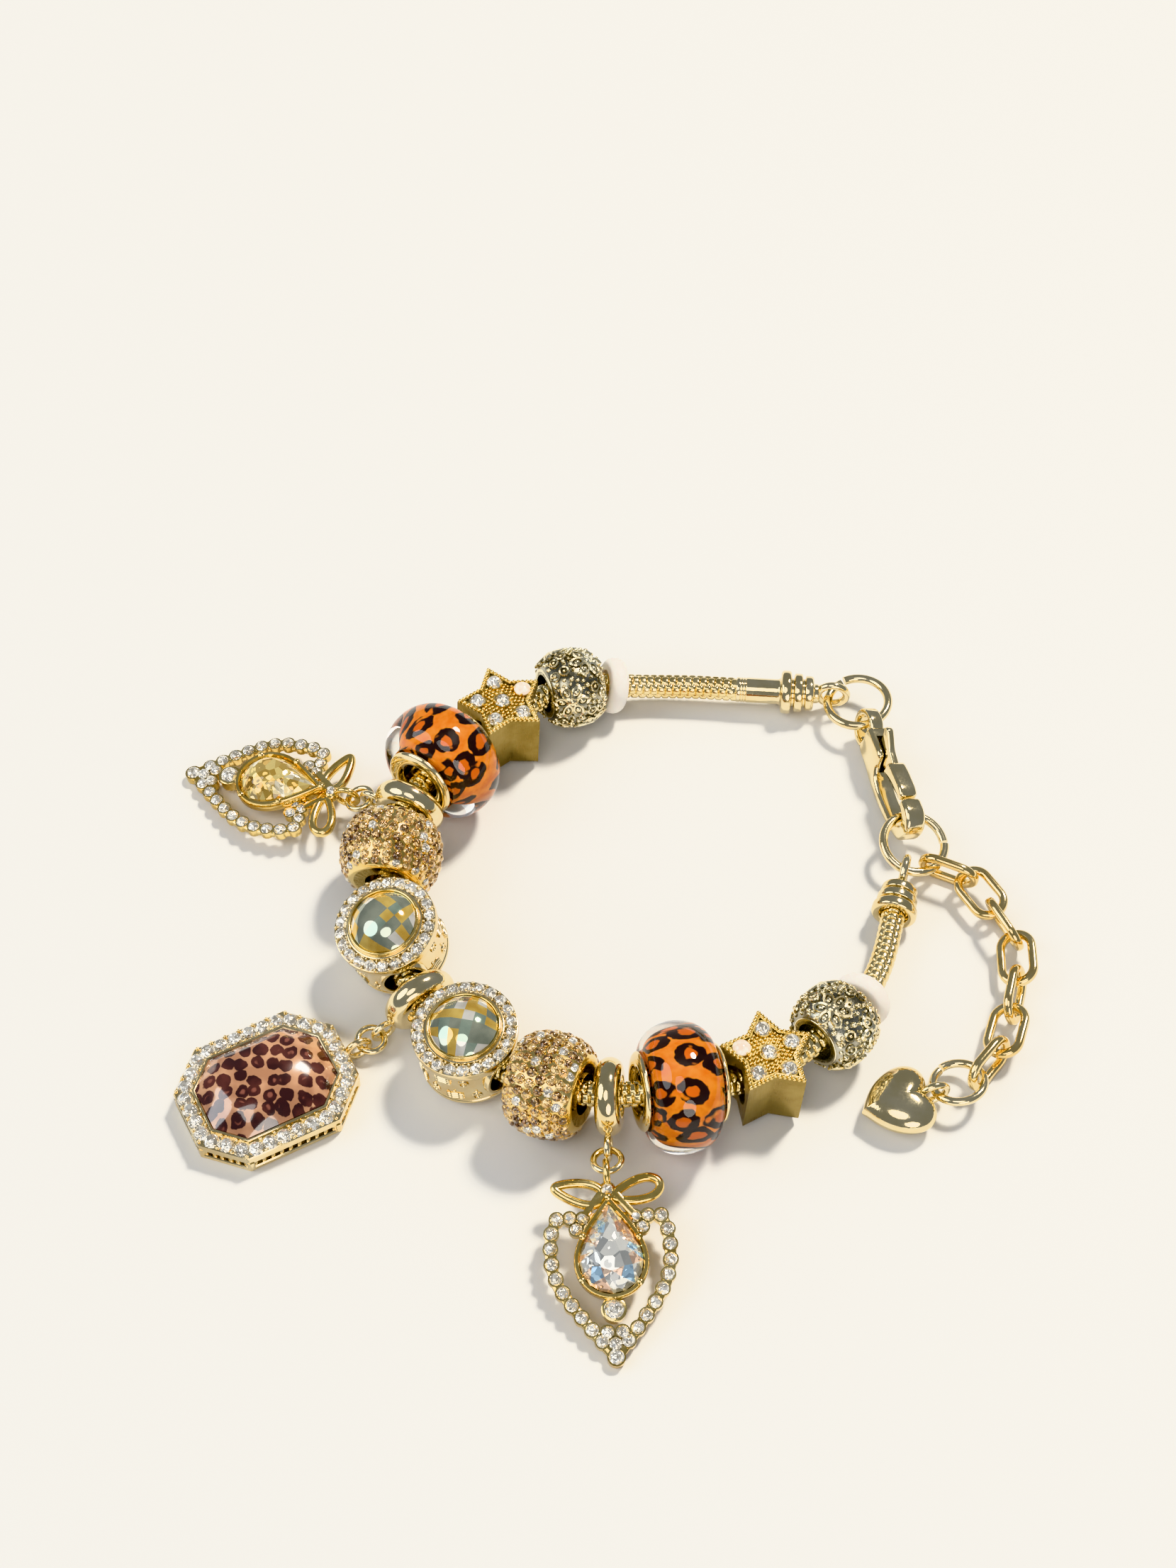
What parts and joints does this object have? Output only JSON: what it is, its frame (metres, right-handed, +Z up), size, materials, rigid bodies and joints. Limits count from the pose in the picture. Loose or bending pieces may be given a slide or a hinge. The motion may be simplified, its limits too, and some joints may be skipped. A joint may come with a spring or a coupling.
{
  "type": "charm bracelet",
  "caption": "Closed snake-chain charm bracelet lying flat: strung metal, glass and crystal beads, drop charms on bails, a lobster clasp and an extender chain with a puffed heart.",
  "frame": {"origin": "on the table under the middle of the lying bracelet's box", "axes": "+Z up from the table, +Y from the pear drop's side across the loop towards the clasp's end, +X towards the clasp and extender side"},
  "size_m": [0.1016, 0.0924, 0.0149],
  "materials": {
    "snake_chain": "polished gold-tone snake chain",
    "bright_gold": "polished pale gold tone",
    "link_gold": "polished gold tone",
    "drum_gold": "polished gold tone with pierced side wall",
    "star_gold": "smooth brushed gold tone",
    "antique_gold": "antique gold tone, dark in the hollows",
    "octagon_gold": "polished gold tone with clear halo stones",
    "bow_gold": "polished gold tone with clear stones",
    "pave_crystal": "set all over with champagne crystals",
    "round_crystal": "champagne crystal, chequerboard cut",
    "spotted_crystal": "tan faceted crystal with dark spots",
    "pear_crystal": "faceted pear-cut crystal",
    "clear_glass": "clear gloss",
    "leopard_print": "orange with dark brown rosettes",
    "silicone": "translucent white, satin"
  },
  "bodies": {
    "bracelet": {"snake_chain": "snake_chain", "end_cap_a": "bright_gold", "end_cap_b": "bright_gold", "jump_ring_a": "bright_gold", "jump_ring_b": "bright_gold", "clasp_body": "bright_gold", "bead_core_a": "bright_gold", "bead_core_b": "bright_gold", "bail_ring_a": "bright_gold", "bail_ring_b": "bright_gold", "bail_ring_c": "bright_gold", "drop_ring_a": "bright_gold", "drop_ring_b": "bright_gold", "drop_ring_c": "bright_gold", "end_ring": "bright_gold", "heart_charm": "bright_gold", "extender_link_1": "link_gold", "extender_link_2": "link_gold", "extender_link_3": "link_gold", "extender_link_4": "link_gold", "extender_link_5": "link_gold", "extender_link_6": "link_gold", "extender_link_7": "link_gold", "drum_bead_a": "drum_gold", "drum_bead_b": "drum_gold", "star_bead_a": "star_gold", "star_bead_b": "star_gold", "flower_ball_a": "antique_gold", "flower_ball_b": "antique_gold", "octagon_frame": "octagon_gold", "bow_frame_a": "bow_gold", "bow_frame_c": "bow_gold", "pave_bead_a": "pave_crystal", "pave_bead_b": "pave_crystal", "round_stone_a": "round_crystal", "round_stone_b": "round_crystal", "octagon_stone": "spotted_crystal", "pear_stone_a": "pear_crystal", "pear_stone_c": "pear_crystal", "glass_bead_a": "clear_glass", "glass_bead_b": "clear_glass", "leopard_sleeve_a": "leopard_print", "leopard_sleeve_b": "leopard_print", "stopper_a": "silicone", "stopper_b": "silicone"},
    "clasp_lever": {"clasp_lever": "bright_gold"}
  },
  "joints": [
    {"name": "lever_hinge", "type": "hinge", "parent": "bracelet", "child": "clasp_lever", "pos_m": [0.03462, 0.03184, 0.00434], "axis": [-0.9319, -0.236, 0.2755], "range_deg": [-20, 0], "stiffness_Nm_per_rad": 0.003, "springref_deg": 5.73}
  ]
}
